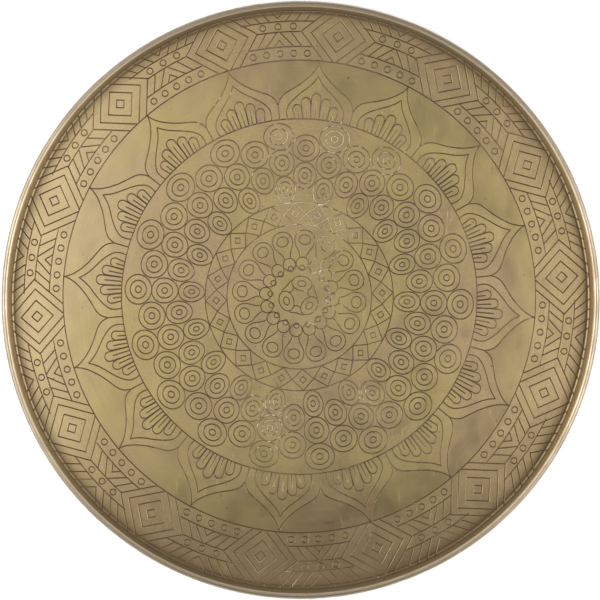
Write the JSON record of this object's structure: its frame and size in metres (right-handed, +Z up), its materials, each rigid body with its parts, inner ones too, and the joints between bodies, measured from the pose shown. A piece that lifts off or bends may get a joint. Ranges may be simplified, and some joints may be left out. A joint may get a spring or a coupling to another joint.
{
  "type": "round brass tray",
  "caption": "Round flat-bottomed brass serving tray with a low steep wall, a wired rolled rim and an engraved floor.",
  "frame": {"origin": "centre of the underside of the floor, on the surface that the tray stands on", "axes": "+Z up along the tray's axis, towards its open side; +Y is the side that is at the top of the engraved pattern"},
  "size_m": [0.4, 0.4, 0.018],
  "materials": {
    "aged_brass": "satin antique brass with dark patina in the engraved lines",
    "rim_wire_steel": "plain drawn steel wire, dull"
  },
  "bodies": {
    "root": {"tray_body": "aged_brass", "rim_wire": "rim_wire_steel"}
  },
  "joints": []
}
